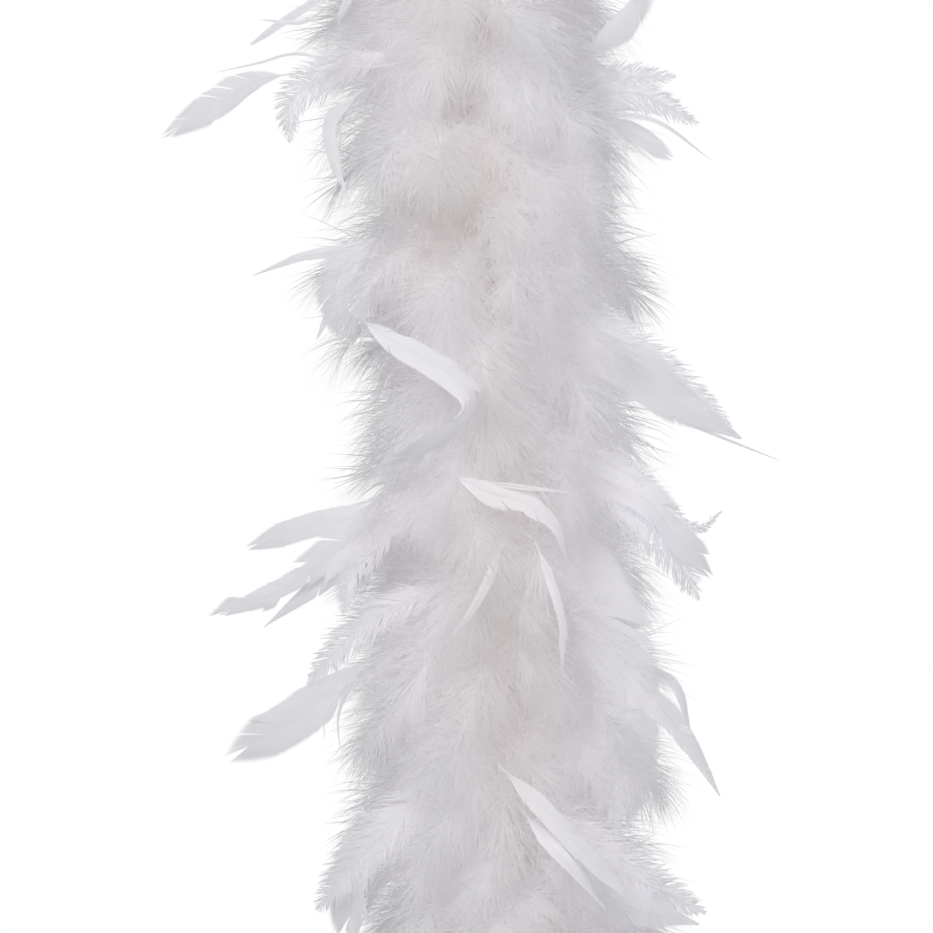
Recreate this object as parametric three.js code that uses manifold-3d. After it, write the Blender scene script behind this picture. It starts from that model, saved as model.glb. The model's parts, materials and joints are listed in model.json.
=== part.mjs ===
// A feather boa that hangs straight down from a cord loop. Down plumes and flat feathers are bound by
// their quills all along a core cord. Millimetres, +Z up. The origin is the point of the hang loop
// that rests on a hook.
import * as THREE from 'three';
import { mergeVertices } from 'three/addons/utils/BufferGeometryUtils.js';
import Module from 'manifold-3d';

const wasm = await Module();
wasm.setup();

// ---- Driving dimensions ----
const featheredLength = 1800;              // six feet, the usual length of a boa
const segmentCount = 10;                   // stretches of cord that bend against each other
const segmentLength = featheredLength / segmentCount;
const bendLimit = 40 * Math.PI / 180;      // how far one stretch turns against the next
const gap = 0.3;                           // clearance between touching pieces

const coreRadius = 2.5;                    // the core cord
const bindingRadius = 4.6;                 // the thread wound over the quills
const downRadius = 60;                     // the mass of down
const downShoulder = 8;                    // how far its edges are taken off
const fansPerHub = 8;                      // fans of plumes in each half of a segment
const fanThickness = 5;
const hubThickness = 2;
const hubClearance = 1;                    // from a half's down to the flat feathers between the halves
const collarRadius = 9;                    // where the quills of the flat feathers come together
const collarLip = 0.6;                     // how far the collar stands proud of them on each side
const featherReach = 121;                  // axis to the tip of the longest flat feather
const featherDroop = 42;                   // how far that tip hangs below its quill
const featherWidth = 14;                   // at its widest
const widestShare = 0.75;                  // how far along the feather that is
const rootWidthShare = 0.6;                // its width at the root, as a share of the widest
const tipWidthShare = 0.7;                 // and at the tip
const featherThickness = 1.2;
const feathersPerSegment = 4;

const loopHeight = 45;                     // hook point down to the top knot
const loopHalfWidth = 13;
const loopCordRadius = 1.5;
const knotHeight = 12;
const knotRadius = 6.5;
const whippingLength = 10;
const whippingRadius = 4.2;
const bareCord = 13;                       // core cord between a hinge and the first feather
const trimmedEnd = 14;                     // the two plies left below the bottom knot

const roundSides = 12;
const cordSides = 8;

// ---- Heights along the boa ----
const topHinge = -loopHeight - knotHeight;
const feathersTop = topHinge - bareCord;
const feathersBottom = feathersTop - featheredLength;
const bottomHinge = feathersBottom - bareCord;

// Two stretches stay clear of each other when each keeps inside this cone about their hinge.
const wedge = (radius) => radius * Math.tan(bendLimit / 2) + gap;

// ---- Shapes ----

// A solid of revolution about Z. The profile is (radius, z) pairs, upwards along its outside.
function turned(profile, sides) {
  const points = profile.map(([radius, z]) => new THREE.Vector2(radius, z));
  return new THREE.LatheGeometry(points, sides).rotateX(Math.PI / 2);
}

// A tube with square ends, from z = low to z = high.
function sleeve(inner, outer, low, high) {
  return turned([[inner, low], [outer, low], [outer, high], [inner, high], [inner, low]], roundSides);
}

// A round bar with coned ends, so that it can turn about a hinge at either end.
function conedBar(radius, low, high) {
  const cone = wedge(radius) - gap;
  return turned([[0, low], [radius, low + cone], [radius, high - cone], [0, high]], roundSides);
}

// A rounded knot that fills the height from low to high.
function knot(low, high) {
  const middle = (low + high) / 2;
  const half = (high - low) / 2;
  const profile = [];
  const steps = 6;
  for (let i = 0; i <= steps; i++) {
    const angle = -Math.PI / 2 + Math.PI * i / steps;
    profile.push([knotRadius * Math.cos(angle), middle + half * Math.sin(angle)]);
  }
  profile[0][0] = 0;
  profile[steps][0] = 0;
  return turned(profile, roundSides);
}

// A round cord along a curve.
function cord(curve, radius, steps) {
  const section = new THREE.Shape();
  for (let i = 0; i < cordSides; i++) {
    const angle = 2 * Math.PI * i / cordSides;
    const point = [radius * Math.cos(angle), radius * Math.sin(angle)];
    if (i === 0) section.moveTo(...point);
    else section.lineTo(...point);
  }
  return new THREE.ExtrudeGeometry(section, { extrudePath: curve, steps, bevelEnabled: false });
}

// A flat feather's width at a share of its length, as a share of its widest.
function widthShare(share) {
  if (share < widestShare) return THREE.MathUtils.mapLinear(share, 0, widestShare, rootWidthShare, 1);
  return THREE.MathUtils.mapLinear(share, widestShare, 1, 1, tipWidthShare);
}

// One flat feather in the XZ plane: level inside the down, then drooping to a narrow tip.
function flatFeather(reach) {
  const level = downRadius + 4;
  const stations = 7;
  const position = [];
  const index = [];
  for (let i = 0; i < stations; i++) {
    const share = i / (stations - 1);
    const radius = collarRadius - 2 + (reach - collarRadius + 2) * share;
    const outside = Math.max(0, (radius - level) / (featherReach - level));
    const z = -featherDroop * outside ** 1.5;
    const half = featherWidth / 2 * widthShare(share);
    for (const [y, up] of [[-half, -1], [half, -1], [half, 1], [-half, 1]]) {
      position.push(radius, y, z + up * featherThickness / 2);
    }
    if (i === 0) continue;
    const first = 4 * (i - 1);
    for (let corner = 0; corner < 4; corner++) {
      const a = first + corner;
      const b = first + (corner + 1) % 4;
      index.push(a, b, a + 4, b, b + 4, a + 4);
    }
  }
  const last = 4 * (stations - 1);
  index.push(0, 2, 1, 0, 3, 2, last, last + 1, last + 2, last, last + 2, last + 3);
  const geometry = new THREE.BufferGeometry();
  geometry.setAttribute('position', new THREE.Float32BufferAttribute(position, 3));
  geometry.setIndex(index);
  return geometry;
}

// ---- Joining solids ----

function toManifold(geometry) {
  const bare = geometry.clone();
  bare.deleteAttribute('normal');
  bare.deleteAttribute('uv');
  const merged = mergeVertices(bare, 1e-4);
  const vertProperties = new Float32Array(merged.attributes.position.array);
  const triVerts = new Uint32Array(merged.index.array);
  return new wasm.Manifold(new wasm.Mesh({ numProp: 3, vertProperties, triVerts }));
}

function toGeometry(solid) {
  const mesh = solid.getMesh();
  const geometry = new THREE.BufferGeometry();
  geometry.setAttribute('position', new THREE.BufferAttribute(new Float32Array(mesh.vertProperties), 3));
  geometry.setIndex(new THREE.BufferAttribute(new Uint32Array(mesh.triVerts), 1));
  geometry.computeVertexNormals();
  return geometry;
}

// Half of a segment's down, above (side 1) or below (side -1) its flat feathers: fans of plumes on the
// hub where their quills are bound. Their coned ends leave room for the next segment to bend.
function downPlumes(side) {
  const bore = bindingRadius + gap;
  const hubRadius = bore + hubThickness;
  const inner = featherThickness / 2 + hubClearance;
  const end = segmentLength / 2;
  const root = bore + hubThickness / 2;
  const outline = [
    [root, inner],
    [downRadius - downShoulder, inner],
    [downRadius, inner + downShoulder],
    [downRadius, end - wedge(downRadius) - downShoulder],
    [downRadius - downShoulder, end - wedge(downRadius - downShoulder)],
    [root, end - wedge(hubRadius)],
  ];
  const shape = new THREE.Shape(outline.map(([radius, z]) => new THREE.Vector2(radius, side * z)));
  const fan = new THREE.ExtrudeGeometry(shape, { depth: fanThickness, bevelEnabled: false })
    .rotateX(Math.PI / 2)
    .translate(0, fanThickness / 2, 0);

  const hubEnds = [side * inner, side * (end - wedge(hubRadius))];
  let joined = toManifold(sleeve(bore, hubRadius, Math.min(...hubEnds), Math.max(...hubEnds)));
  for (let i = 0; i < fansPerHub; i++) {
    const turn = 2 * Math.PI * (i + (side > 0 ? 0 : 0.5)) / fansPerHub;
    joined = joined.add(toManifold(fan.clone().rotateZ(turn)));
  }
  return toGeometry(joined);
}

// The flat feathers of one segment, joined where their quills meet in a collar round the core.
// Each segment's feathers are turned against the last one's, and their lengths differ.
function flatFeathers(number) {
  const halfCollar = featherThickness / 2 + collarLip;
  let joined = toManifold(sleeve(bindingRadius + gap, collarRadius, -halfCollar, halfCollar));
  for (let i = 0; i < feathersPerSegment; i++) {
    const turn = 2 * Math.PI * (i / feathersPerSegment + number / 16);
    const reach = featherReach * (i % 2 === 0 ? 1 : 0.86);
    joined = joined.add(toManifold(flatFeather(reach).rotateZ(turn)));
  }
  return toGeometry(joined);
}

// The loop leaves the knot as two cords side by side and passes over the hook point.
function hangLoop() {
  const foot = -loopHeight + gap;
  const crown = loopCordRadius;
  const curve = new THREE.CatmullRomCurve3([
    new THREE.Vector3(-loopCordRadius - gap, 0, foot),
    new THREE.Vector3(-loopCordRadius - 1, 0, foot + 6),
    new THREE.Vector3(-loopHalfWidth * 0.75, 0, foot + 20),
    new THREE.Vector3(-loopHalfWidth, 0, crown - loopHalfWidth),
    new THREE.Vector3(-loopHalfWidth * 0.6, 0, crown - loopHalfWidth * 0.2),
    new THREE.Vector3(0, 0, crown),
    new THREE.Vector3(loopHalfWidth * 0.6, 0, crown - loopHalfWidth * 0.2),
    new THREE.Vector3(loopHalfWidth, 0, crown - loopHalfWidth),
    new THREE.Vector3(loopHalfWidth * 0.75, 0, foot + 20),
    new THREE.Vector3(loopCordRadius + 1, 0, foot + 6),
    new THREE.Vector3(loopCordRadius + gap, 0, foot),
  ]);
  return cord(curve, loopCordRadius, 36);
}

// One ply of the core cord, trimmed short where it comes out of the bottom knot.
function trimmedPly(side) {
  const top = bottomHinge - gap - knotHeight - gap;
  const curve = new THREE.CatmullRomCurve3([
    new THREE.Vector3(side * 1.6, 0, top),
    new THREE.Vector3(side * 2.6, 0, top - trimmedEnd / 2),
    new THREE.Vector3(side * 5, 0, top - trimmedEnd),
  ]);
  return cord(curve, coreRadius / 2, 4);
}

// ---- Materials ----
const materials = {
  cord: new THREE.MeshStandardMaterial({ color: 0xe9e4dc, roughness: 0.9, metalness: 0 }),
  thread: new THREE.MeshStandardMaterial({ color: 0xdccfc6, roughness: 0.7, metalness: 0 }),
  down: new THREE.MeshStandardMaterial({ color: 0xf4f3f6, roughness: 0.95, metalness: 0 }),
  feather: new THREE.MeshStandardMaterial({ color: 0xfaf9fb, roughness: 0.6, metalness: 0 }),
};

// ---- The boa ----
const boa = new THREE.Group();

function addPiece(name, geometry, material, parent = boa) {
  const mesh = new THREE.Mesh(geometry, material);
  mesh.name = name;
  parent.add(mesh);
}

function addHanger() {
  addPiece('hang_loop', hangLoop(), materials.cord);
  addPiece('top_knot', knot(topHinge + gap, -loopHeight), materials.cord);
  const top = topHinge - wedge(whippingRadius);
  const whipping = sleeve(coreRadius + gap, whippingRadius, top - whippingLength, top);
  addPiece('top_whipping', whipping, materials.thread);
}

function addSegment(number) {
  const segment = new THREE.Group();
  const top = segmentLength / 2;
  const label = String(number).padStart(2, '0');
  segment.position.z = feathersTop - segmentLength * (number - 0.5);
  boa.add(segment);

  const coreTop = top + (number === 1 ? bareCord : 0) - gap;
  const coreBottom = -top - (number === segmentCount ? bareCord : 0) + gap;
  const bindingEnd = top - wedge(bindingRadius);
  const binding = sleeve(coreRadius + gap, bindingRadius, -bindingEnd, bindingEnd);
  addPiece(`core_cord_${label}`, conedBar(coreRadius, coreBottom, coreTop), materials.cord, segment);
  addPiece(`quill_binding_${label}`, binding, materials.thread, segment);
  addPiece(`down_plumes_upper_${label}`, downPlumes(1), materials.down, segment);
  addPiece(`down_plumes_lower_${label}`, downPlumes(-1), materials.down, segment);
  addPiece(`flat_feathers_${label}`, flatFeathers(number), materials.feather, segment);
}

function addBottomEnd() {
  const bottom = bottomHinge + wedge(whippingRadius);
  const whipping = sleeve(coreRadius + gap, whippingRadius, bottom, bottom + whippingLength);
  addPiece('bottom_whipping', whipping, materials.thread);
  addPiece('bottom_knot', knot(bottomHinge - gap - knotHeight, bottomHinge - gap), materials.cord);
  addPiece('trimmed_ply_left', trimmedPly(-1), materials.cord);
  addPiece('trimmed_ply_right', trimmedPly(1), materials.cord);
}

addHanger();
for (let number = 1; number <= segmentCount; number++) addSegment(number);
addBottomEnd();

export default boa;
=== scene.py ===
"""A white feather boa: down plumes and flat feathers bound along a twisted cord, hung from a loop."""

import json
import math

import bpy
import numpy as np
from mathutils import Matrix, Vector

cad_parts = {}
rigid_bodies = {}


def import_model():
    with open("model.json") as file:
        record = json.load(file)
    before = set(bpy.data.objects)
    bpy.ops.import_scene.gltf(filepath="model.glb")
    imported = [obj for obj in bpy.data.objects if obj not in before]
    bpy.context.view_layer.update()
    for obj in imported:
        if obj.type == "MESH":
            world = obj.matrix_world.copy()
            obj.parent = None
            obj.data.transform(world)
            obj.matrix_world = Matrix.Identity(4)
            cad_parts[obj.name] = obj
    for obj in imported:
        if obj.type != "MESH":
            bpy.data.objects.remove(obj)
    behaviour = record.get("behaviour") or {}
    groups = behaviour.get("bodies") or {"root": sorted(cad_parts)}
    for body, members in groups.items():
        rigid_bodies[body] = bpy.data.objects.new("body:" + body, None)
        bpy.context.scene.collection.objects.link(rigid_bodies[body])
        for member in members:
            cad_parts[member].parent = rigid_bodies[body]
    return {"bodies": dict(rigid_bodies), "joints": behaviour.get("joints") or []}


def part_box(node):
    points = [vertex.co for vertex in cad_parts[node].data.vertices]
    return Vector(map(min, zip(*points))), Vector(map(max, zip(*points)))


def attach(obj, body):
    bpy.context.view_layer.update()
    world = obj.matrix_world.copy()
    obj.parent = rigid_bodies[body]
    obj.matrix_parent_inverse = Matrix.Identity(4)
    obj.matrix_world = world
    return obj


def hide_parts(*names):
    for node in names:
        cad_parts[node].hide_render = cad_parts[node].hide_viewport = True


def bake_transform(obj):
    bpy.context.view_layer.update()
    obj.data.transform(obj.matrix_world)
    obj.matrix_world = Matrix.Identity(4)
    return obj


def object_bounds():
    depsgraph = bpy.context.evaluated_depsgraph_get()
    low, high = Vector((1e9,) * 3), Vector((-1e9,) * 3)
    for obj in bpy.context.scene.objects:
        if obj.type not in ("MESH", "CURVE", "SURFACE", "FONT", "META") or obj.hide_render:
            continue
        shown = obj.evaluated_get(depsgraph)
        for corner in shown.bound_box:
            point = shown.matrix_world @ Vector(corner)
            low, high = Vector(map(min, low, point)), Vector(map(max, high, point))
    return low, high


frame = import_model()
cad_low, cad_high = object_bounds()

MM = 0.001
GOLDEN_ANGLE = math.pi * (3 - math.sqrt(5))
SEGMENTS = sorted(b for b in frame["bodies"] if b.startswith("segment_"))
JOINTS = {joint["name"]: joint for joint in frame["joints"]}


def half_width(node):
    """Half the width of a CAD node's box: the radius of a round piece."""
    low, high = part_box(node)
    return (high.x - low.x) / 2


# ---- Driving sizes, in metres ----
DOWN_RADIUS = half_width("down_plumes_upper_02")
CORE_RADIUS = half_width("core_cord_02")
BINDING_RADIUS = half_width("quill_binding_02")
FEATHERS_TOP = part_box("down_plumes_upper_01")[1].z
FEATHERS_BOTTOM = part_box("down_plumes_lower_10")[0].z
FLOOR_DROP = 0.4  # how far the boa hangs above the floor
FLOOR_REACH = 9.0

PLY_PITCH = 0.014
KNOT_CORD_RADIUS = 0.0022
CORD_INTO_KNOT = 0.0015
LOOP_INTO_KNOT = 0.0035
PLY_INTO_KNOT = 0.0020
THREAD_RADIUS = 0.0004
WHIPPING_THREAD_RADIUS = 0.0005

VIEW_HEIGHT = 0.373  # the stretch of boa that fills the picture
VIEW_DISTANCE = 1.8
VIEW_CENTRE_Z = (JOINTS["bend_01"]["pos_m"][2] + JOINTS["bend_02"]["pos_m"][2]) / 2
VIEW_SHIFT_X = -0.0114  # the boa hangs a little right of the picture's middle
VIEW_ROLL = math.radians(2.4)  # and leans a little
VIEW_NEAR = VIEW_HEIGHT * 0.62  # stretches with their middle this close to the view's are made in full
SENSOR_MM = 36.0

# Two layers of down: short plumes close to the cord, and long ones that lie over them. Tilt is degrees
# below the horizontal at a plume's tip, and loose is how far its barbs stray from lying side by side.
LAYERS = {
    "under": {"per_metre": 460, "length": (0.018, 0.038), "tilt_tip": (0, 90), "loose": 1.0},
    "over": {"per_metre": 680, "length": (0.050, 0.074), "tilt_tip": (35, 100), "loose": 0.85},
}
FAR_DENSITY = 0.52  # away from the view, this share of the plumes covers the same with wider barbs
STEM_WIDTH = (0.00070, 0.00008)  # at its root and at its tip
BARB_GROUPS = 16  # tufts on each side of a stem
BARBS_PER_GROUP = 10
BARB_LENGTH = 0.030
BARB_WIDTH = 0.00030
BARB_TAPER = (1.4, 1.2, 0.75, 0.0)  # its width at each station, as a share of that
BARB_SPREAD = (66, 20)  # degrees from the stem at its root and at its tip
OUTWARD = 3.0  # how much the flat sides of the barbs turn outwards

VANE_SLANT = 40  # degrees from the quill that a flat feather's barbs grow at
VANE_BARB_SPACING = 0.00042
VANE_QUILL_WIDTH = (0.00090, 0.00012)
SHINGLE = 0.3  # each barb of a vane lies a little over the next
FLATS_PER_METRE = 70
STRAY_SPAN = 0.21  # this far above and below the view's middle, the feathers that show are placed one by one
PLAIN_RADIUS = 0.068  # there, one placed at random ends no further out than this
PLAIN_FRONT = -0.03  # and no further forward than this
LIGHT_BOUNCES = 32
SEED = 7


# ---- Stretches of boa ----
# Each stretch runs from the middle of one segment to the middle of the next, so it crosses one bend.
# The first and the last are half as long. Only their core cord crosses a joint, where it meets the knot.


def middle(segment):
    """The height of the middle of a segment's down."""
    number = segment[-2:]
    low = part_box("down_plumes_lower_" + number)[0].z
    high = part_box("down_plumes_upper_" + number)[1].z
    return (low + high) / 2


def make_stretches():
    """From the top down, each with the body or the two bodies that it moves with."""
    ends = [FEATHERS_TOP] + [middle(s) for s in SEGMENTS] + [FEATHERS_BOTTOM]
    stretches = []
    for number in range(len(ends) - 1):
        bodies = SEGMENTS[max(number - 1, 0) : number + 1]
        top, bottom = ends[number], ends[number + 1]
        near = abs((top + bottom) / 2 - VIEW_CENTRE_Z) < VIEW_NEAR
        stretch = {"number": number, "top": top, "bottom": bottom, "bodies": bodies}
        stretch["density"] = 1 if near else FAR_DENSITY
        stretches.append(stretch)
    return stretches


STRETCHES = make_stretches()


def carry(piece, stretch):
    """The piece moves with its stretch's body when the stretch has one; a piece of a stretch that spans two
    bodies only has its transform baked in, and is not bent.
    """
    bodies = stretch["bodies"]
    if len(bodies) == 1:
        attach(piece, bodies[0])
        return
    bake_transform(piece)


# ---- Camera ----


def make_camera():
    """Level, in front of the boa, and as far away as a long lens is used."""
    camera = bpy.data.objects.new("camera", bpy.data.cameras.new("camera"))
    bpy.context.scene.collection.objects.link(camera)
    camera.data.sensor_width = SENSOR_MM
    camera.data.lens = SENSOR_MM * VIEW_DISTANCE / VIEW_HEIGHT
    camera.location = (VIEW_SHIFT_X, -VIEW_DISTANCE, VIEW_CENTRE_Z)
    camera.rotation_euler = (math.radians(90), VIEW_ROLL, 0)
    camera.data.clip_end = 200
    bpy.context.scene.camera = camera


make_camera()


# ---- Materials ----


def new_material(name):
    material = bpy.data.materials.new(name)
    material.use_nodes = True
    nodes = material.node_tree.nodes
    return material, nodes, material.node_tree.links, nodes["Principled BSDF"], nodes["Material Output"]


def attribute_value(nodes, name):
    node = nodes.new("ShaderNodeAttribute")
    node.attribute_name = name
    return node.outputs["Fac"]


def colour_mix(nodes, links, factor, low, high):
    """A colour that goes from low to high with factor; each may be a socket or a colour."""
    mix = nodes.new("ShaderNodeMix")
    mix.data_type = "RGBA"
    links.new(factor, mix.inputs["Factor"])
    for end, colour in (("A", low), ("B", high)):
        socket = next(s for s in mix.inputs if s.name == end and s.type == "RGBA")
        if isinstance(colour, tuple):
            socket.default_value = (*colour, 1)
        else:
            links.new(colour, socket)
    return next(s for s in mix.outputs if s.type == "RGBA")


def let_light_through(nodes, links, shader, output, colour, share):
    """Mixes translucency into a thin strip's shader."""
    through = nodes.new("ShaderNodeBsdfTranslucent")
    links.new(colour, through.inputs["Color"])
    mix = nodes.new("ShaderNodeMixShader")
    mix.inputs[0].default_value = share
    links.new(shader.outputs[0], mix.inputs[1])
    links.new(through.outputs[0], mix.inputs[2])
    links.new(mix.outputs[0], output.inputs["Surface"])


def feather_material(name, root, tip_low, tip_high, roughness, through, glow):
    """Barbs: warm and a little darker at the root, deep by the cord, as painted shade of the down's depths;
    the warm patches take that colour too. Each strand is its own white. Through is the share of light that
    passes them. Glow is painted light, an even emission that lifts the shade: it stands for the light that
    real barbs, many times finer, pass on inside the down."""
    material, nodes, links, shader, output = new_material(name)
    strand = attribute_value(nodes, "strand")
    white = colour_mix(nodes, links, strand, tip_low, tip_high)
    # The root colour is painted shade where the barbs lie deep by the cord, and the colour of the warm
    # patches.
    colour = colour_mix(nodes, links, attribute_value(nodes, "warmth"), white, root)
    links.new(colour, shader.inputs["Base Color"])
    shader.inputs["Roughness"].default_value = roughness
    shader.inputs["Specular IOR Level"].default_value = 0.12
    shader.inputs["Sheen Weight"].default_value = 0.15
    shader.inputs["Sheen Roughness"].default_value = 0.5
    # Painted light: the feathers glow evenly, to lift the shade inside them.
    shader.inputs["Emission Color"].default_value = (1.0, 0.98, 0.99, 1)
    shader.inputs["Emission Strength"].default_value = glow
    let_light_through(nodes, links, shader, output, colour, through)
    return material


def cord_material(name, low, high, roughness, scale):
    """Twisted fibre: fine mottled colour with a bump of the same grain."""
    material, nodes, links, shader, _ = new_material(name)
    noise = nodes.new("ShaderNodeTexNoise")
    noise.inputs["Scale"].default_value = scale
    noise.inputs["Detail"].default_value = 6
    links.new(colour_mix(nodes, links, noise.outputs["Fac"], low, high), shader.inputs["Base Color"])
    bump = nodes.new("ShaderNodeBump")
    bump.inputs["Strength"].default_value = 0.5
    bump.inputs["Distance"].default_value = 0.0003
    links.new(noise.outputs["Fac"], bump.inputs["Height"])
    links.new(bump.outputs["Normal"], shader.inputs["Normal"])
    shader.inputs["Roughness"].default_value = roughness
    shader.inputs["Sheen Weight"].default_value = 0.3
    return material


DOWN = feather_material(
    "down_white",
    root=(0.985, 0.974, 0.970),
    tip_low=(0.986, 0.983, 0.989),
    tip_high=(0.990, 0.987, 0.993),
    roughness=0.9,
    through=0.5,
    glow=0.030,
)
VANE = feather_material(
    "vane_white",
    root=(0.94, 0.91, 0.90),
    tip_low=(0.91, 0.905, 0.93),
    tip_high=(0.95, 0.945, 0.96),
    roughness=0.5,
    through=0.25,
    glow=0.10,
)
QUILL = cord_material("quill_horn", (0.95, 0.945, 0.95), (0.98, 0.975, 0.98), roughness=0.5, scale=900)
CORD = cord_material("cord_cotton", (0.72, 0.66, 0.60), (0.90, 0.86, 0.80), roughness=0.9, scale=1500)
THREAD = cord_material("thread_waxed", (0.66, 0.57, 0.53), (0.82, 0.75, 0.71), roughness=0.45, scale=2500)


# ---- Meshes of strips and tubes ----


class Strips:
    """Gathers narrow pointed strips, the shape of a barb, and makes one mesh of them."""

    def __init__(self):
        self.blocks = []

    def add(self, centres, halves, slot, strand, warmth):
        """centres and halves are (strips, stations, 3): the middle line and half the width across it.
        strand is one number a strip, and the painted shade of the down's depths, with the warm patches, one
        a station."""
        self.blocks.append((centres, halves, slot, strand, warmth))

    def mesh(self, name, materials):
        """A strip is a row of quads with a triangle at its tip. Its points are the left edge, the right
        edge and the tip."""
        points, corners, starts, slots, strands, warmths = [], [], [], [], [], []
        first_point = 0
        first_corner = 0
        for centres, halves, slot, strand, warmth in self.blocks:
            count, stations = centres.shape[:2]
            last = stations - 1
            per_strip = 2 * last + 1
            left = centres[:, :last] - halves[:, :last]
            right = centres[:, :last] + halves[:, :last]
            points.append(np.concatenate([left, right, centres[:, last:]], axis=1).reshape(-1, 3))
            both_sides = [warmth[:, :last], warmth[:, :last], warmth[:, last:]]
            warmths.append(np.concatenate(both_sides, axis=1).ravel())
            strands.append(np.repeat(strand, per_strip))
            step = np.arange(last - 1)
            quads = np.stack([step, step + last, step + last + 1, step + 1], axis=1).ravel()
            tip = [last - 1, 2 * last - 1, 2 * last]
            pattern = np.concatenate([quads, tip]).astype(np.int64)
            base = first_point + np.arange(count)[:, None] * per_strip
            corners.append((base + pattern).ravel())
            begin = np.arange(last) * 4
            starts.append((first_corner + np.arange(count)[:, None] * len(pattern) + begin).ravel())
            slots.append(np.full(count * last, slot))
            first_point += count * per_strip
            first_corner += count * len(pattern)
        return mesh_object(
            name,
            *map(np.concatenate, (points, corners, starts, slots)),
            materials,
            strand=np.concatenate(strands),
            warmth=np.concatenate(warmths),
        )


def mesh_object(name, points, corners, starts, slots, materials, **attributes):
    """An object in the scene. Each keyword is a value for every point, which the materials read."""
    mesh = bpy.data.meshes.new(name)
    mesh.vertices.add(len(points))
    mesh.vertices.foreach_set("co", points.astype(np.float32).ravel())
    mesh.loops.add(len(corners))
    mesh.loops.foreach_set("vertex_index", corners.astype(np.int32))
    mesh.polygons.add(len(starts))
    mesh.polygons.foreach_set("loop_start", starts.astype(np.int32))
    for material in materials:
        mesh.materials.append(material)
    mesh.polygons.foreach_set("material_index", slots.astype(np.int32))
    mesh.polygons.foreach_set("use_smooth", np.ones(len(starts), bool))
    for label, values in attributes.items():
        layer = mesh.attributes.new(label, "FLOAT", "POINT")
        layer.data.foreach_set("value", values.astype(np.float32))
    mesh.update(calc_edges=True)
    piece = bpy.data.objects.new(name, mesh)
    bpy.context.scene.collection.objects.link(piece)
    return piece


def unit(vectors):
    """The vectors along the last axis, made one long."""
    return vectors / np.maximum(np.linalg.norm(vectors, axis=-1, keepdims=True), 1e-9)


def smooth_route(points, stations):
    """Points along a Catmull-Rom curve through the given ones, evenly spaced."""
    p = np.asarray(points, float)
    p = np.vstack([2 * p[0] - p[1], p, 2 * p[-1] - p[-2]])
    t = np.linspace(0, 1, 12, endpoint=False)[:, None]
    fine = []
    for a, b, c, d in zip(p, p[1:], p[2:], p[3:]):
        square = (2 * a - 5 * b + 4 * c - d) * t**2
        cube = (3 * b - a - 3 * c + d) * t**3
        fine.append(0.5 * (2 * b + (c - a) * t + square + cube))
    fine = np.vstack([*fine, p[-2:-1]])
    length = np.concatenate([[0], np.cumsum(np.linalg.norm(np.diff(fine, axis=0), axis=1))])
    wanted = np.linspace(0, length[-1], stations)
    return np.stack([np.interp(wanted, length, fine[:, k]) for k in range(3)], axis=1)


def tube(route, radii, sides):
    """Points and faces of a closed round tube along a route, with a fan over each end."""
    route = np.asarray(route, float)
    count = len(route)
    radii = np.broadcast_to(radii, count)
    along = unit(np.gradient(route, axis=0))
    across = unit(np.cross(along[0], (0.3, 0.9, 0.2)))
    angle = 2 * np.pi * np.arange(sides)[:, None] / sides
    rings = []
    for i in range(count):
        across = unit(across - along[i] * (across @ along[i]))
        other = np.cross(along[i], across)
        rings.append(route[i] + radii[i] * (np.cos(angle) * across + np.sin(angle) * other))
    points = np.vstack([*rings, route[:1], route[-1:]])
    faces = []
    for i in range(count - 1):
        for k in range(sides):
            a = i * sides + k
            b = i * sides + (k + 1) % sides
            faces.append((a, b, b + sides, a + sides))
    near, far = count * sides, count * sides + 1
    for k in range(sides):
        after = (k + 1) % sides
        faces.append((near, after, k))
        faces.append((far, (count - 1) * sides + k, (count - 1) * sides + after))
    return points, faces


def tube_object(name, tubes, material):
    """One mesh of several tubes, each (points, faces)."""
    points, corners, starts = [], [], []
    offset = 0
    for vertices, faces in tubes:
        points.append(vertices)
        for face in faces:
            starts.append(len(corners))
            corners.extend(offset + k for k in face)
        offset += len(vertices)
    slots = np.zeros(len(starts), int)
    return mesh_object(name, np.vstack(points), np.array(corners), np.array(starts), slots, [material])


# ---- Down plumes ----


def plume_stems(rng, stretch, layer, stations=9):
    """The stems of a stretch's plumes: they leave the cord sideways, turn down and drift round it."""
    height = stretch["top"] - stretch["bottom"]
    count = int(height * layer["per_metre"] * stretch["density"])
    order = np.arange(count)
    start = stretch["top"] - height * (order + rng.random(count)) / count
    azimuth = GOLDEN_ANGLE * order + rng.normal(0, 0.25, count)
    length = rng.uniform(*layer["length"], count)
    tilt_root = np.radians(rng.uniform(-25, 20, count))
    tilt_tip = np.radians(rng.uniform(*layer["tilt_tip"], count))
    swirl = rng.normal(0, 0.6, count)
    share = np.linspace(0, 1, stations)
    tilt = tilt_root[:, None] + (tilt_tip - tilt_root)[:, None] * share**1.5
    heading = azimuth[:, None] + swirl[:, None] * share
    flat = np.cos(tilt)
    step = np.stack([flat * np.cos(heading), flat * np.sin(heading), -np.sin(tilt)], axis=2)
    travel = np.cumsum(step, axis=1) - step[:, :1]
    root = np.stack([np.cos(azimuth), np.sin(azimuth), np.zeros(count)], axis=1) * CORE_RADIUS
    root[:, 2] = start
    stems = root[:, None] + travel * (length / (stations - 1))[:, None, None]
    around = np.stack([-np.sin(heading), np.cos(heading), np.zeros_like(heading)], axis=2)
    return stems, unit(step), around


def along_stem(values, share):
    """values (plumes, stations, 3) at the given share of the way along each, as (plumes, ..., 3)."""
    last = values.shape[1] - 1
    place = np.clip(share * last, 0, last - 1e-6)
    low = place.astype(int)
    part = (place - low)[..., None]
    rows = np.arange(values.shape[0]).reshape(-1, *[1] * (share.ndim - 1))
    return values[rows, low] * (1 - part) + values[rows, low + 1] * part


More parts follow.
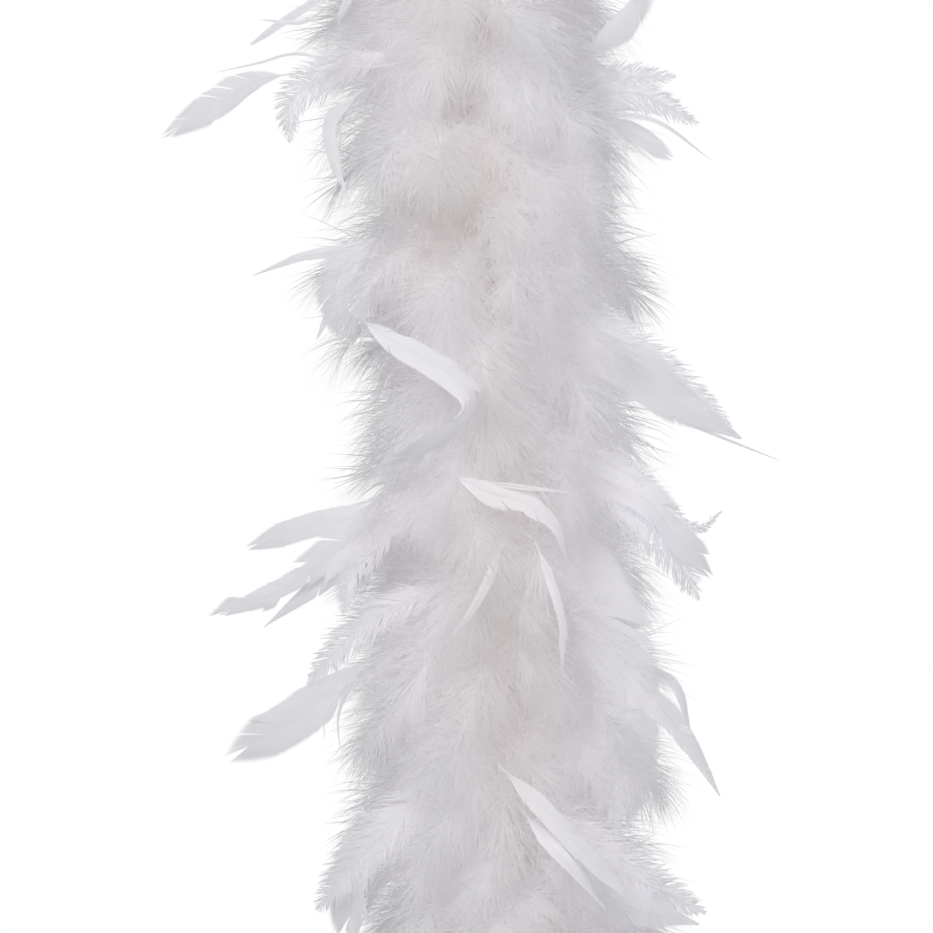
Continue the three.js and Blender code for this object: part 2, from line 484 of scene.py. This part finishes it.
def down_barbs(rng, stems, headings, arounds, width, loose):
    """Soft barbs on both sides of each stem, in tufts that cling together towards their tips. Arrays
    run over (plumes, sides, tufts, barbs), then stations, then x, y and z."""
    count = len(stems)
    shape = (count, 2, BARB_GROUPS, BARBS_PER_GROUP)
    group = np.arange(BARB_GROUPS)[:, None] + rng.random(shape)
    share = 0.12 + 0.88 * (group / BARB_GROUPS) ** 0.85
    root = along_stem(stems, share)
    forward = unit(along_stem(headings, share))
    around = unit(along_stem(arounds, share))
    roll = rng.normal(0, 0.9, (count, 1, 1, 1, 1))
    lift = np.cross(forward, around)
    side = np.cos(roll) * around + np.sin(roll) * lift
    face = np.cross(forward, side)
    sign = np.array([-1.0, 1.0]).reshape(1, 2, 1, 1, 1)
    at_root, at_tip = BARB_SPREAD
    spread = at_root + (at_tip - at_root) * share**1.5 + loose * rng.normal(0, 20, shape)
    spread = np.radians(spread)[..., None]
    direction = np.cos(spread) * forward + np.sin(spread) * sign * side
    direction = direction + face * loose * rng.normal(0, 0.6, shape)[..., None]
    # Each barb curls its own way, and each tuft droops and lifts as one.
    curl_side = side * rng.normal(0, 0.4, shape)[..., None]
    curl_face = face * rng.normal(0, 0.4, shape)[..., None]
    curl = loose * (curl_side + curl_face)
    length = BARB_LENGTH * (0.75 + 0.35 * np.sin(np.pi * share)) * rng.uniform(0.6, 1.15, shape)
    droop = np.array([0, 0, -1.0]) * rng.uniform(0.0, 1.1, (count, 1, BARB_GROUPS, 1, 1))
    puff = face * (0.15 + 0.2 * loose) * rng.normal(0, 1, (count, 2, BARB_GROUPS, 1, 1))
    stations = len(BARB_TAPER)
    centres = [root]
    for k in range(1, stations):
        part = k / (stations - 1)
        step = unit(direction + part * (0.5 * forward + droop + puff + curl))
        centres.append(centres[-1] + step * (length / (stations - 1))[..., None])
    centres = np.stack(centres, axis=4)
    # Towards their tips the barbs of a tuft draw together.
    cling = rng.uniform(0.0, 0.4, (count, 2, BARB_GROUPS, 1, 1, 1))
    cling = np.linspace(0, 1, stations)[:, None] ** 1.6 * cling
    centres += cling * (centres.mean(axis=3, keepdims=True) - centres)
    # Their flat sides turn outwards, to catch the light evenly.
    run = np.gradient(centres, axis=4)
    outward = unit(root * np.array([1.0, 1.0, 0.0]))
    face = face * np.where((face * outward).sum(axis=-1, keepdims=True) < 0, -1.0, 1.0)
    look = face + OUTWARD * outward + 0.25 * rng.normal(0, 1, (*shape, 3))
    flat = unit(np.cross(run, look[..., None, :]))
    widths = width / 2 * np.array(BARB_TAPER)[:, None]
    halves = flat * widths
    total = count * 2 * BARB_GROUPS * BARBS_PER_GROUP
    return centres.reshape(total, stations, 3), halves.reshape(total, stations, 3)


# Patches where the down takes the warm root colour, a little brown or pink: middle, half width and half
# height in millimetres (x right and z up from the axis at the middle of the view), and strength.
WARM_PATCHES = [
    (-4, 172, 12, 12, 1.5),
    (-6, 106, 15, 18, 2.0),
    (-22, 84, 10, 10, 1.3),
    (2, -60, 14, 90, 1.1),
]


def warmth_of(points):
    """Painted shade: 1 at the cord and 0 from half the down's depth outwards, so that the down is warm and
    a little darker where it lies deep; the warm patches raise it.
    """
    radius = np.hypot(points[..., 0], points[..., 1])
    warmth = np.clip(1 - (radius - BINDING_RADIUS) / (0.5 * DOWN_RADIUS), 0, 1)
    for x, z, wide, tall, strength in WARM_PATCHES:
        across = (points[..., 0] - x * MM) / (wide * MM)
        along = (points[..., 2] - VIEW_CENTRE_Z - z * MM) / (tall * MM)
        warmth = np.maximum(warmth, strength * np.exp(-(across**2) - along**2))
    return warmth


def add_down(strips, rng, stretch, layer):
    """One layer of a stretch's down, barbs and stems. The barbs of a tuft are nearly the same white."""
    stems, headings, arounds = plume_stems(rng, stretch, layer)
    width = BARB_WIDTH / stretch["density"] ** 0.7
    centres, halves = down_barbs(rng, stems, headings, arounds, width, layer["loose"])
    tuft = np.repeat(rng.random(len(centres) // BARBS_PER_GROUP), BARBS_PER_GROUP)
    strand = np.clip(0.7 * tuft + 0.3 * rng.random(len(centres)), 0, 1)
    strips.add(centres, halves, 0, strand, warmth_of(centres))
    taper = np.linspace(*STEM_WIDTH, stems.shape[1])[:, None] / 2
    halves = unit(np.cross(headings, arounds + 0.001)) * taper
    strips.add(stems, halves, 1, np.ones(len(stems)), warmth_of(stems))


# ---- Flat feathers ----


def vane_outline(share, bare, tip):
    """How wide the feather is along its quill, as a share of its width."""
    grown = np.clip((share - bare) / 0.15, 0, 1) ** 0.6
    if tip in ("pointed", "soft"):
        return grown * np.clip((1 - share) / 0.6, 0, 1) ** 0.65 + 0.06
    return grown * (1 - 0.25 * np.clip((share - 0.8) / 0.2, 0, 1))


def vane_slant(share, tip):
    """The angle of each barb to the quill. They close up towards the feather's end."""
    closing = 0.6 if tip == "pointed" else 0.8
    closed = np.clip((share - closing) / (1 - closing), 0, 1) ** 1.5
    return np.radians(VANE_SLANT - 32 * closed)


def vane(strips, rng, route, width, tip="blunt", facing=(0, -1, 0), twist=0.0, bare=0.12, camber=0.18):
    """A flat feather along a route: barbs side by side from a quill, split here and there.
    tip is blunt, pointed, frayed, or soft where the barbs don't hold together at all. facing is where
    its flat side looks, twist turns it along the way, and bare is the share of quill without barbs."""
    stations = 24
    spine = smooth_route(route, stations)
    forward = unit(np.gradient(spine, axis=0))
    length = np.linalg.norm(np.diff(spine, axis=0), axis=1).sum()
    count = max(16, int(length / VANE_BARB_SPACING))
    share = np.linspace(bare, 1, count)
    place = share * (stations - 1)
    every = np.arange(stations)
    root = np.stack([np.interp(place, every, spine[:, k]) for k in range(3)], axis=1)
    along = unit(np.stack([np.interp(place, every, forward[:, k]) for k in range(3)], axis=1))
    across = unit(np.cross(along, np.asarray(facing, float)))
    face = unit(np.cross(across, along))
    turn = (twist * share)[:, None]
    cos, sin = np.cos(turn), np.sin(turn)
    across, face = across * cos + face * sin, face * cos - across * sin
    outline = vane_outline(share, bare, tip)
    slant = vane_slant(share, tip)
    spacing = length * (1 - bare) / count
    for sign in (-1, 1):
        # The vane splits into groups of barbs, and each group leans and lifts as one.
        splits = np.cumsum(rng.random(count) < 0.035)
        lean = rng.normal(0, 0.05, splits[-1] + 1)[splits]
        lift = rng.normal(0, 0.08, splits[-1] + 1)[splits]
        ragged = rng.uniform(0.95, 1.02, count)
        if tip == "soft":
            ragged = rng.uniform(0.65, 1.15, count)
            lean = lean + rng.normal(0, 0.14, count)
            lift = lift + rng.normal(0, 0.20, count)
        if tip == "frayed":
            cut = rng.uniform(0.45, 1.1, splits[-1] + 1)[splits]
            ragged = ragged * np.where(share > 0.55, cut, 1)
        reach = width / 2 * outline * ragged / math.sin(math.radians(VANE_SLANT))
        taper = np.array([1.0, 1.0, 1.0, 0.9, 0.0])
        steps = len(taper)
        centres = [root]
        for k in range(1, steps):
            part = k / (steps - 1)
            angle = (slant + lean) * (1.25 - 0.5 * part)
            direction = np.cos(angle)[:, None] * along + sign * np.sin(angle)[:, None] * across
            direction = unit(direction - (camber * part + lift * part)[:, None] * face)
            centres.append(centres[-1] + direction * (reach / (steps - 1))[:, None])
        centres = np.stack(centres, axis=1)
        run = unit(np.gradient(centres, axis=1))
        flat = unit(np.cross(run, face[:, None]) + SHINGLE * face[:, None])
        widths = 0.75 * spacing * np.sin(slant + 0.15)[:, None] * taper
        group_shade = rng.normal(0, 1, splits[-1] + 1)[splits]
        strand = np.clip(0.5 + 0.2 * group_shade + rng.normal(0, 0.1, count), 0, 1)
        # The vane's barbs take half the painted shade of the down's depths, and of the warm patches.
        strips.add(centres, flat * widths[:, :, None], 0, strand, 0.5 * warmth_of(centres))
    # The quill is two crossed strips.
    shaft = np.linspace(*VANE_QUILL_WIDTH, stations)[:, None] / 2
    for layer in (across[0], face[0]):
        halves = unit(np.cross(forward, layer)) * shaft
        strips.add(spine[None], halves[None], 1, np.ones(1), np.zeros((1, stations)))


# The flat feathers that stand out of the down where the boa is looked at. Each has its route in
# millimetres from the axis at the middle of the view (x right, y away, z up), its width, its tip, its
# twist, and how much of its quill is bare.
STRAYS = [
    # left, from the top down
    ([(-30, -10, 197), (-58, -14, 189), (-74, -12, 181), (-89, -8, 172)], 3.5, "blunt", 0.0, 0.1),
    ([(-60, -10, 184), (-70, -12, 179), (-86, -10, 181)], 2, "pointed", 0.0, 0.1),
    ([(-50, -16, 160), (-71, -18, 166), (-87, -18, 163), (-105, -16, 160)], 1.2, "pointed", 0.0, 0.1),
    ([(-30, -20, 160), (-67, -24, 158), (-87, -22, 156), (-102, -20, 149), (-121, -14, 139)],
     13, "blunt", 0.0, 0.50),
    ([(-30, -14, 166), (-58, -18, 158), (-74, -18, 148), (-76, -16, 132)], 18, "soft", 0.0, 0.1),
    ([(-45, -34, 150), (-58, -36, 138), (-58, -38, 122), (-53, -38, 106)], 6, "pointed", 0.4, 0.1),
    ([(-40, -20, 90), (-70, -22, 86), (-81, -20, 83), (-93, -18, 79)], 4.5, "pointed", 0.0, 0.2),
    ([(-40, -26, 94), (-54, -30, 84), (-60, -28, 72), (-58, -24, 58)], 15, "blunt", 0.0, 0.1),
    ([(-45, -15, 80), (-60, -15, 68), (-68, -15, 54)], 2.5, "blunt", 0.0, 0.0),
    ([(-20, -14, -12), (-60, -18, -18), (-79, -16, -22), (-95, -12, -27)], 11, "blunt", 0.0, 0.0),
    ([(-20, -20, -6), (-56, -26, -26), (-80, -24, -42), (-108, -18, -53)], 17, "frayed", 0.0, 0.0),
    ([(-40, -24, -20), (-66, -22, -40), (-94, -18, -60)], 9, "pointed", 0.1, 0.0),
    ([(-42, -30, -26), (-58, -30, -40), (-62, -28, -56)], 12, "soft", 0.0, 0.0),
    ([(-34, -8, -60), (-58, -16, -78), (-80, -18, -95), (-102, -16, -107)], 20, "blunt", 0.0, 0.34),
    ([(-24, -18, -46), (-56, -20, -62), (-78, -18, -84)], 18, "soft", 0.0, 0.0),
    ([(-60, -22, -84), (-66, -22, -96), (-66, -22, -110)], 1, "pointed", 0.0, 0.0),
    ([(-62, -22, -84), (-71, -22, -96), (-72, -22, -106)], 0.8, "pointed", 0.0, 0.0),
    ([(-26, -30, -120), (-54, -36, -146), (-77, -30, -171)], 24, "soft", 0.0, 0.0),
    ([(-30, -24, -130), (-60, -28, -154), (-64, -24, -182)], 18, "frayed", 0.0, 0.0),
    # right, from the top down
    ([(30, -20, 200), (62, -18, 190), (61, -16, 176), (49, -14, 165)], 12, "blunt", 0.0, 0.0),
    ([(20, 0, 146), (55, -5, 152), (78, -5, 152)], 16, "soft", 0.0, 0.0),
    ([(20, -4, 136), (58, -10, 146), (86, -8, 133)], 17, "soft", 0.0, 0.0),
    ([(40, -15, 138), (68, -18, 134), (91, -16, 117)], 2.2, "pointed", 0.4, 0.1),
    ([(35, -10, 140), (58, -12, 131), (72, -12, 121)], 9, "blunt", 0.2, 0.3),
    ([(16, -20, 60), (52, -26, 38), (72, -24, 22), (97, -18, 7)], 22, "pointed", 0.0, 0.0),
    ([(20, -14, 62), (50, -18, 48), (70, -18, 34), (94, -14, 12)], 18, "soft", 0.0, 0.0),
    ([(60, -20, 22), (84, -19, 10), (113, -16, -3)], 1.4, "pointed", 0.0, 0.0),
    ([(16, -20, 14), (52, -26, -6), (76, -22, -28), (89, -16, -22)], 11, "soft", 0.0, 0.0),
    ([(20, -14, 6), (54, -20, -18), (70, -18, -40), (78, -14, -56)], 24, "soft", 0.0, 0.0),
    ([(24, -20, 0), (56, -26, -14), (70, -24, -32), (80, -20, -44)], 16, "frayed", 0.0, 0.0),
    ([(12, -22, -14), (36, -30, -52), (47, -30, -90), (44, -26, -134)], 30, "blunt", 0.0, 0.0),
    ([(25, -26, -84), (58, -28, -97), (71, -26, -112), (83, -22, -134)], 11, "pointed", 0.0, 0.2),
    ([(50, -16, -80), (67, -18, -90), (73, -18, -109)], 5, "pointed", 0.4, 0.0),
    ([(12, -20, -138), (44, -26, -162), (75, -20, -180)], 22, "soft", 0.0, 0.0),
    ([(10, -25, -156), (42, -32, -174), (72, -26, -184)], 16, "pointed", 0.0, 0.0),
    # in front, from the top down
    ([(-54, -48, 62), (-38, -66, 50), (-20, -73, 38), (-9, -75, 27), (-14, -74, 16), (-27, -71, 7),
      (-40, -66, 2)], 12, "frayed", 0.7, 0.1),
    ([(-22, -50, 0), (-4, -64, -10), (10, -70, -15), (21, -72, -24), (26, -70, -38)],
     10, "pointed", 0.4, 0.15),
    ([(-6, -60, -6), (10, -71, -9), (31, -72, -12)], 2.2, "pointed", 0.3, 0.1),
    ([(2, -58, -30), (-6, -69, -46), (-13, -72, -57), (-22, -71, -67)], 4, "pointed", 0.2, 0.1),
    ([(14, -56, -30), (20, -70, -48), (23, -72, -64), (22, -71, -80)], 4, "frayed", 0.2, 0.1),
    ([(-4, -54, -116), (10, -68, -130), (24, -71, -146), (41, -68, -165)], 9, "frayed", 0.2, 0.1),
    ([(4, -52, -134), (16, -68, -148), (26, -71, -160), (36, -68, -174)], 6, "pointed", 0.4, 0.1),
]


def random_route(rng, stretch):
    """A flat feather that leaves the cord, comes through the down and droops or curls."""
    z = rng.uniform(stretch["bottom"] + 0.01, stretch["top"] - 0.002)
    azimuth = rng.uniform(0, 2 * math.pi)
    reach = rng.uniform(0.055, 0.098)
    drop = rng.uniform(0.01, 0.06)
    swirl = rng.normal(0, 0.5)
    route = []
    for share in (0.15, 0.45, 0.75, 1.0):
        angle = azimuth + swirl * share**2
        radius = reach * share ** rng.uniform(0.75, 0.95)
        route.append((radius * math.cos(angle), radius * math.sin(angle), z - drop * share**2))
    facing_x = 0.5 * math.cos(azimuth) + rng.normal(0, 0.6)
    facing_y = 0.5 * math.sin(azimuth) + rng.normal(0, 0.6)
    facing_z = rng.normal(0.6, 0.4)
    return route, (facing_x, facing_y, facing_z)


def add_flats(strips, rng, stretch):
    """The strays that start in this stretch, and others at random that don't compete with them."""
    for route, width, tip, twist, bare in STRAYS:
        placed = [(x * MM, y * MM, VIEW_CENTRE_Z + z * MM) for x, y, z in route]
        if stretch["bottom"] <= placed[0][2] < stretch["top"]:
            vane(strips, rng, placed, width * MM, tip, twist=twist, bare=bare)
    for _ in range(int((stretch["top"] - stretch["bottom"]) * FLATS_PER_METRE)):
        route, facing = random_route(rng, stretch)
        width = rng.uniform(0.006, 0.013)
        tip = ("blunt", "pointed", "frayed")[rng.integers(3)]
        twist = rng.normal(0, 0.5)
        x, y, z = route[-1]
        would_show = math.hypot(x, y) > PLAIN_RADIUS or y < PLAIN_FRONT
        if would_show and abs(z - VIEW_CENTRE_Z) < STRAY_SPAN:
            continue
        vane(strips, rng, route, width, tip, facing, twist)


# ---- Core cord, binding, knots and loop ----


def helix(radius, low, high, pitch, phase, per_turn=10):
    """Points on a helix about Z, from the height low to the height high."""
    turns = (high - low) / pitch
    t = np.linspace(0, 1, max(8, int(turns * per_turn)))
    angle = phase + 2 * np.pi * turns * t
    return np.stack([radius * np.cos(angle), radius * np.sin(angle), low + (high - low) * t], axis=1)


def make_core(stretch, low, high):
    """Two plies wound round each other."""
    ply = CORE_RADIUS / 2
    plies = [tube(helix(ply, low, high, PLY_PITCH, phase), ply, 8) for phase in (0, math.pi)]
    return tube_object(f"core_cord_stretch_{stretch['number']:02d}", plies, CORD)


def make_binding(stretch):
    """Thread wound both ways over the quills."""
    radius = (CORE_RADIUS + BINDING_RADIUS) / 2
    low, high = stretch["bottom"], stretch["top"]
    one_way = helix(radius, low, high, pitch=0.009, phase=0)
    other_way = helix(radius, high, low, pitch=0.012, phase=1)
    threads = [tube(route, THREAD_RADIUS, 6) for route in (one_way, other_way)]
    return tube_object(f"binding_thread_stretch_{stretch['number']:02d}", threads, THREAD)


def make_whipping(node, body):
    """Close turns of thread."""
    low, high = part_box(node)
    thread = WHIPPING_THREAD_RADIUS
    radius = half_width(node) - 0.8 * thread
    route = helix(radius, low.z + thread, high.z - thread, 1.8 * thread, phase=0, per_turn=14)
    piece = tube_object(node + "_thread", [tube(route, thread, 6)], THREAD)
    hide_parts(node)
    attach(piece, body)


def make_knot(node, body):
    """An overhand knot drawn tight: a trefoil of cord."""
    low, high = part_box(node)
    t = np.linspace(0, 2 * np.pi, 90)
    across = (half_width(node) - KNOT_CORD_RADIUS) / 3
    up = ((high.z - low.z) / 2 - KNOT_CORD_RADIUS) / 3
    x = across * (np.sin(t) + 2 * np.sin(2 * t))
    y = -1.4 * across * np.sin(3 * t)
    z = up * (np.cos(t) - 2 * np.cos(2 * t))
    route = np.stack([x, y, z], axis=1) + np.array((low + high) / 2)
    piece = tube_object(node + "_tied", [tube(route, KNOT_CORD_RADIUS, 10)], CORD)
    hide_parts(node)
    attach(piece, body)


def make_hang_loop():
    """The loop, a single thin cord that leaves the knot, passes over the hook and comes back."""
    low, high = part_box("hang_loop")
    radius = (high.y - low.y) / 2
    half = half_width("hang_loop") - radius
    top, foot = high.z - radius, low.z
    left = [
        (-0.0016, 0, foot - LOOP_INTO_KNOT),
        (-0.0025, 0, foot + 0.005),
        (-half * 0.75, 0, foot + 0.020),
        (-half, 0, top - half),
        (-half * 0.6, 0, top - half * 0.2),
    ]
    right = [(-x, y, z) for x, y, z in reversed(left)]
    line = smooth_route([*left, (0, 0, top), *right], 60)
    piece = tube_object("hang_loop_cord", [tube(line, radius, 10)], CORD)
    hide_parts("hang_loop")
    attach(piece, "hanger")


def make_trimmed_ply(node):
    """One cut end of the twisted cord, spread a little from the other."""
    low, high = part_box(node)
    side = 1 if low.x + high.x > 0 else -1
    points = [
        (side * 0.0012, 0, high.z + PLY_INTO_KNOT),
        (side * 0.0026, 0, (low.z + high.z) / 2),
        (side * 0.0048, 0, low.z),
    ]
    route = smooth_route(points, 12)
    piece = tube_object(node + "_end", [tube(route, np.linspace(0.00125, 0.0011, 12), 8)], CORD)
    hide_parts(node)
    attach(piece, "bottom_end")


# ---- Putting it together ----


def carry_core(piece, stretch):
    """The core cord goes with its stretch as carry places it; at the two ends of the boa, where it meets
    the knot, it only has its transform baked in.
    """
    if stretch is STRETCHES[0]:
        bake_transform(piece)
    elif stretch is STRETCHES[-1]:
        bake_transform(piece)
    else:
        carry(piece, stretch)


def make_stretch(stretch):
    """All the pieces of one stretch. Stretch k stands for the CAD nodes numbered k, and the half one at
    the top for none."""
    number = stretch["number"]
    label = f"{number:02d}"
    rng = np.random.default_rng(SEED + number)
    last = number == len(STRETCHES) - 1
    pieces = []
    for layer, node in (("under", "down_plumes_lower_"), ("over", "down_plumes_upper_")):
        down = Strips()
        add_down(down, rng, stretch, LAYERS[layer])
        pieces.append((down.mesh(f"{layer}_down_{label}", [DOWN, QUILL]), "down", node))
    flats = Strips()
    add_flats(flats, rng, stretch)
    feathers = flats.mesh(f"flat_feathers_stretch_{label}", [VANE, QUILL])
    pieces.append((feathers, "flat_feather", "flat_feathers_"))
    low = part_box("core_cord_10")[0].z - CORD_INTO_KNOT if last else stretch["bottom"]
    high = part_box("core_cord_01")[1].z + CORD_INTO_KNOT if number == 0 else stretch["top"]
    pieces.append((make_core(stretch, low, high), "core_cord", "core_cord_"))
    pieces.append((make_binding(stretch), "binding_thread", "quill_binding_"))
    for piece, slot, node in pieces:
        if slot == "core_cord":
            carry_core(piece, stretch)
        else:
            carry(piece, stretch)
        if number > 0:
            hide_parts(node + label)


make_hang_loop()
for stretch in STRETCHES:
    make_stretch(stretch)
make_knot("top_knot", "hanger")
make_knot("bottom_knot", "bottom_end")
make_whipping("top_whipping", SEGMENTS[0])
make_whipping("bottom_whipping", SEGMENTS[-1])
make_trimmed_ply("trimmed_ply_left")
make_trimmed_ply("trimmed_ply_right")


# ---- Stage ----


def make_floor():
    """A wide pale floor under the boa. To the camera it glows too, so that it meets the backdrop softly."""
    mesh = bpy.data.meshes.new("floor")
    z = cad_low.z - FLOOR_DROP
    signs = ((-1, -1), (1, -1), (1, 1), (-1, 1))
    mesh.from_pydata([(x * FLOOR_REACH, y * FLOOR_REACH, z) for x, y in signs], [], [(0, 1, 2, 3)])
    floor = bpy.data.objects.new("floor", mesh)
    bpy.context.scene.collection.objects.link(floor)
    material, nodes, links, shader, _ = new_material("floor_pale")
    shader.inputs["Base Color"].default_value = (0.9, 0.9, 0.9, 1)
    shader.inputs["Roughness"].default_value = 0.9
    shader.inputs["Emission Color"].default_value = (0.78, 0.78, 0.79, 1)
    links.new(nodes.new("ShaderNodeLightPath").outputs["Is Camera Ray"], shader.inputs["Emission Strength"])
    mesh.materials.append(material)


def make_light(name, place, size, power, colour, aim=0.0):
    """A square softbox. Its place, and the height it is aimed at, are from the middle of the view."""
    light = bpy.data.objects.new(name, bpy.data.lights.new(name, "AREA"))
    bpy.context.scene.collection.objects.link(light)
    light.data.size = size
    light.data.energy = power
    light.data.color = colour
    middle_of_view = Vector((0, 0, VIEW_CENTRE_Z))
    light.location = middle_of_view + Vector(place)
    light.rotation_mode = "QUATERNION"
    light.rotation_quaternion = (Vector(place) - Vector((0, 0, aim))).to_track_quat("Z", "Y")


def make_world():
    """Plain white to look at, and a dimmer, slightly cool white as the light it gives."""
    world = bpy.data.worlds.new("studio")
    bpy.context.scene.world = world
    world.use_nodes = True
    nodes, links = world.node_tree.nodes, world.node_tree.links
    glow = nodes["Background"]
    glow.inputs["Color"].default_value = (0.97, 0.97, 1.0, 1)
    glow.inputs["Strength"].default_value = 0.28
    backdrop = nodes.new("ShaderNodeBackground")
    path = nodes.new("ShaderNodeLightPath")
    mix = nodes.new("ShaderNodeMixShader")
    links.new(path.outputs["Is Camera Ray"], mix.inputs[0])
    links.new(glow.outputs[0], mix.inputs[1])
    links.new(backdrop.outputs[0], mix.inputs[2])
    backdrop.inputs["Color"].default_value = (1, 1, 1, 1)
    links.new(mix.outputs[0], nodes["World Output"].inputs["Surface"])


def let_light_bounce(times):
    """White down is bright and soft inside because light passes from barb to barb many times."""
    cycles = bpy.context.scene.cycles
    cycles.max_bounces = times
    cycles.diffuse_bounces = times
    cycles.transmission_bounces = times


make_floor()
make_world()
make_light("key", (-0.4, -1.25, 0.75), 1.0, 11, (1.0, 0.99, 0.985))
make_light("fill", (0.8, -2.0, 0.1), 1.5, 2.5, (0.97, 0.96, 1.0))
make_light("rim", (1.5, 1.6, 0.2), 1.5, 11, (0.94, 0.94, 1.0))
make_light("low", (-0.5, -1.6, -1.4), 1.5, 3, (0.98, 0.98, 1.0), aim=-1.0)
bpy.context.scene.view_settings.view_transform = "Standard"
let_light_bounce(LIGHT_BOUNCES)
